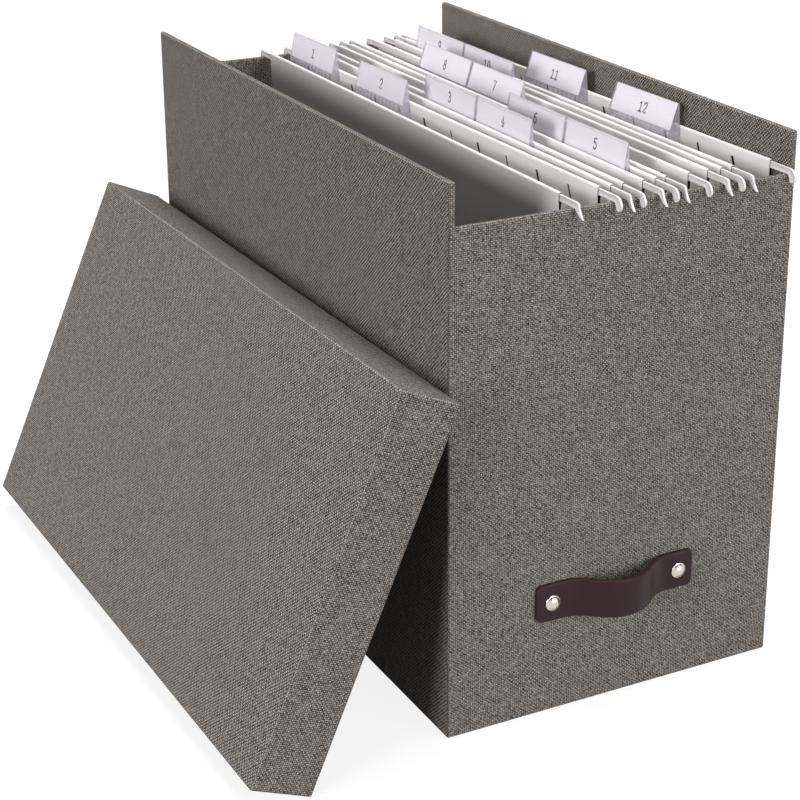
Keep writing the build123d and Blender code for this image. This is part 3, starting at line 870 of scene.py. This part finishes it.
def clear_vinyl_film():
    """Thin clear vinyl: see-through when faced, a grey-lilac veil on the ribs, and painted reflection as a
    paler veil at a graze and on the end walls.
    """
    material, tree = new_material("clear_vinyl_film")
    place = add_node(tree, "TexCoord").outputs["Object"]
    along = add_node(tree, "SeparateXYZ", {0: place}).outputs["Y"]
    wave = calc(tree, "SINE", calc(tree, "MULTIPLY", along, 2 * math.pi / rib_pitch))
    window = add_node(tree, "Attribute", attribute_name="in_window").outputs["Fac"]
    ribbed = calc(tree, "MULTIPLY", remap(tree, wave, 0.05, 0.17, (0.0, 0.8)), window)
    # painted reflection: the film is made paler and less clear where it is seen at a graze and on its end
    # walls
    edge_on = add_node(tree, "LayerWeight", {"Blend": 0.35}).outputs["Facing"]
    cover = calc(tree, "ADD", remap(tree, edge_on, 0.025, 0.30), ribbed)
    end_wall = add_node(tree, "Attribute", attribute_name="end_wall").outputs["Fac"]
    cover = calc(tree, "MULTIPLY_ADD", end_wall, painted_wall_veil, cover)
    scuffs = noise(tree, place, 320.0, 3.0)
    return with_surface(material, tree, {
        "Base Color": linear("#D3CDDA"), "Roughness": remap(tree, scuffs, 0.12, 0.24), "Alpha": cover,
    })


# Labels. Each is a slip of bright white printing paper, cut to the tab's length. It lies behind the tab's
# front leaf, pushed up under the ridge.
def bright_bond_paper():
    """Bright white bond paper with a cold, faintly lilac cast from its whitener."""
    material, tree = new_material("bright_bond_paper")
    fibres = noise(tree, add_node(tree, "TexCoord").outputs["Object"], 1800.0, 3.0)
    tone = blend(tree, fibres, linear("#F4F0F6"), linear("#FBF9FC"))
    return with_surface(material, tree, {"Base Color": tone, "Roughness": 0.8})


# Folders, put together. Each takes its rails' lines and its labels' places from its solids. The slots lie
# half a pitch to either side of the tabs' middles, so that both tongues of a tab fall in a slot.
card_stock = white_folder_card()
rail_plastic = moulded_white_polystyrene()
vinyl = clear_vinyl_film()
bond = bright_bond_paper()
folders = range(1, 7)
for number in folders:
    body = f"folder_{number}"
    front_line = rail_line(f"{body}_front_rail")
    back_line = rail_line(f"{body}_back_rail")
    for name, line, upper, lower in (("front", front_line, beak_upper, beak_lower),
                                     ("back", back_line, drop_upper, drop_lower)):
        points, faces = rail_surface(line, upper, lower)
        rail = make_piece(f"{body}_{name}_bar", points, faces, rail_plastic, body, "white_plastic")
        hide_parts(f"{body}_{name}_rail")
    slips = np.array([v.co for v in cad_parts[f"{body}_labels"].data.vertices])
    far_slip = slips[slips[:, 1] > slips[:, 1].mean()]
    slot_places = (far_slip[:, 1].min() + far_slip[:, 1].max()) / 2 + slot_pitch * (np.arange(-12, 13) + 0.5)
    slot_places = slot_places[np.abs(slot_places) < card_reach - slot_pitch / 2]
    points, faces, hem_shade_mask = card_surface(front_line, back_line, slot_places)
    sheet = make_piece(f"{body}_sheet", points, faces, card_stock, body, "white_card", smooth=False)
    point_values(sheet, "hem_shade_mask", hem_shade_mask)
    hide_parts(f"{body}_card")

    ridge_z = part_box(f"{body}_tabs")[1].z
    films = []
    papers = []
    windows = []
    end_walls = []
    for slip in (far_slip, slips[slips[:, 1] < slips[:, 1].mean()]):
        centre, axes, half = slip_frame(slip)
        hem_x = back_line[0] + back_line[1] * centre[1] - hem_half - card_thick / 2 - film / 2 - centre[0]
        points, faces, in_window, end_wall = tab_surface(centre, axes, half, ridge_z, hem_x)
        films.append((points, faces))
        windows.append(in_window)
        end_walls.append(end_wall)
        top = (ridge_z - 2 * film - centre[2]) / axes[1][2] - film
        corners = [axes[1] * up + axes[2] * side * half[2]
                   for up, side in ((-half[1], 1), (top, 1), (top, -1), (-half[1], -1))]
        across = np.array([-axes[0][1], axes[0][0], 0])
        outline = [(corner @ across, corner[2]) for corner in corners]
        paper = prism(outline, across, axes[0], -half[0], half[0])
        papers.append((paper[0] + centre, paper[1]))
    tabs = make_piece(f"{body}_tab_films", *joined(films), vinyl, body, "clear_plastic", smooth=False)
    point_values(tabs, "in_window", np.concatenate(windows))
    point_values(tabs, "end_wall", np.concatenate(end_walls))
    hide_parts(f"{body}_tabs")
    labels = make_piece(f"{body}_label_slips", *joined(papers), bond, body, "label_paper", smooth=False)
    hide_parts(f"{body}_labels")


# Numbers. Each label carries a plain number, typed in grey-black ink with an even stroke.
# The figures have the small slab feet of a typewriter face.
figure_height = 5.4 * MM
figure_pitch = 3.9 * MM
stroke = 0.82 * MM
ink_lift = 0.05 * MM
figure_middle = (0.28, 0.5)
arc_step = 15


def arc(cx, cy, rx, ry, start, end):
    """Points on an ellipse from start to end degrees, anticlockwise from its right."""
    angle = np.radians(np.linspace(start, end, max(int(abs(end - start) / arc_step) + 1, 3)))
    return np.stack([cx + rx * np.cos(angle), cy + ry * np.sin(angle)], -1)


# lines of each figure, on a height of one
figures = {
    "0": [arc(0.28, 0.50, 0.23, 0.47, 0, 360)],
    "1": [np.array([(0.07, 0.80), (0.28, 0.97), (0.28, 0.0)]), np.array([(0.08, 0.0), (0.48, 0.0)])],
    "2": [np.concatenate([arc(0.27, 0.70, 0.21, 0.27, 165, -35), [(0.05, 0.0), (0.50, 0.0), (0.50, 0.10)]])],
    "3": [arc(0.26, 0.745, 0.19, 0.225, 145, -90), arc(0.26, 0.26, 0.23, 0.26, 90, -145)],
    "4": [np.array([(0.36, 0.0), (0.36, 0.97), (0.04, 0.30), (0.52, 0.30)]),
          np.array([(0.22, 0.0), (0.50, 0.0)])],
    "5": [np.concatenate([[(0.46, 0.97), (0.12, 0.97), (0.10, 0.54)],
                          arc(0.26, 0.30, 0.23, 0.30, 120, -145)])],
    "6": [arc(0.50, 0.30, 0.44, 0.67, 92, 180), arc(0.28, 0.29, 0.22, 0.29, 0, 360)],
    "7": [np.array([(0.06, 0.84), (0.06, 0.97), (0.49, 0.97), (0.22, 0.0)])],
    "8": [arc(0.28, 0.745, 0.18, 0.225, 0, 360), arc(0.28, 0.26, 0.22, 0.26, 0, 360)],
    "9": [arc(0.06, 0.67, 0.44, 0.67, 0, -88), arc(0.28, 0.68, 0.22, 0.29, 0, 360)],
}


def figure_ribbons(text):
    """The strokes of a number about zero: flat ribbons, half a stroke to each side of the figures' lines."""
    ribbons = []
    start = -((len(text) - 1) * figure_pitch) / 2
    for place, figure in enumerate(text):
        for line in figures[figure]:
            path = (np.asarray(line, float) - figure_middle) * figure_height
            path += (start + place * figure_pitch, 0)
            way = np.gradient(path, axis=0)
            way /= np.linalg.norm(way, axis=1, keepdims=True)
            side = np.stack([-way[:, 1], way[:, 0]], -1) * stroke / 2
            path[0] -= way[0] * stroke / 2
            path[-1] += way[-1] * stroke / 2
            ribbons.append((path + side, path - side))
    return ribbons


def typed_ink():
    """Carbon ribbon ink: grey-black, matt, and a little thin where the ribbon was dry."""
    material, tree = new_material("typed_ribbon_ink")
    wear = noise(tree, add_node(tree, "TexCoord").outputs["Object"], 2400.0, 2.0)
    tone = blend(tree, wear, linear("#17161A"), linear("#323136"))
    return with_surface(material, tree, {"Base Color": tone, "Roughness": 0.8})


ink = typed_ink()
far_first = {1: ("1", "2"), 2: ("3", "4"), 3: ("6", "5"), 4: ("8", "7"), 5: ("9", "10"), 6: ("11", "12")}
for number in folders:
    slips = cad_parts[f"folder_{number}_labels"].data
    corners = np.array([v.co for v in slips.vertices])
    middle_y = (corners[:, 1].min() + corners[:, 1].max()) / 2
    points = []
    faces = []
    both_slips = (corners[corners[:, 1] > middle_y], corners[corners[:, 1] < middle_y])
    for text, slip in zip(far_first[number], both_slips):
        centre, (read, rise, out), half = slip_frame(slip)
        for left, right in figure_ribbons(text):
            first = len(points)
            for edge in (left, right):
                points.extend(centre + edge[:, :1] * read + edge[:, 1:] * rise + out * (half[2] + ink_lift))
            n = len(left)
            faces.extend([first + k, first + n + k, first + n + k + 1, first + k + 1] for k in range(n - 1))
    make_piece(f"folder_{number}_numbers", points, faces, ink, f"folder_{number}", "label_paper",
               smooth=False, closed=False)


# Lid. Its cover is cut from the same woven paper, so its threads follow the lid's own edges as it leans.
lid_lean = math.radians(23.52)
lid_twist = math.radians(0.8)
lid_turn = (Matrix.Rotation(-lid_lean, 3, "Y") @ Matrix.Rotation(-lid_twist, 3, "Z")).to_euler("XYZ")
dress("lid_cover", plain_weave_paper("plain_weave_paper_lid", lid_turn))
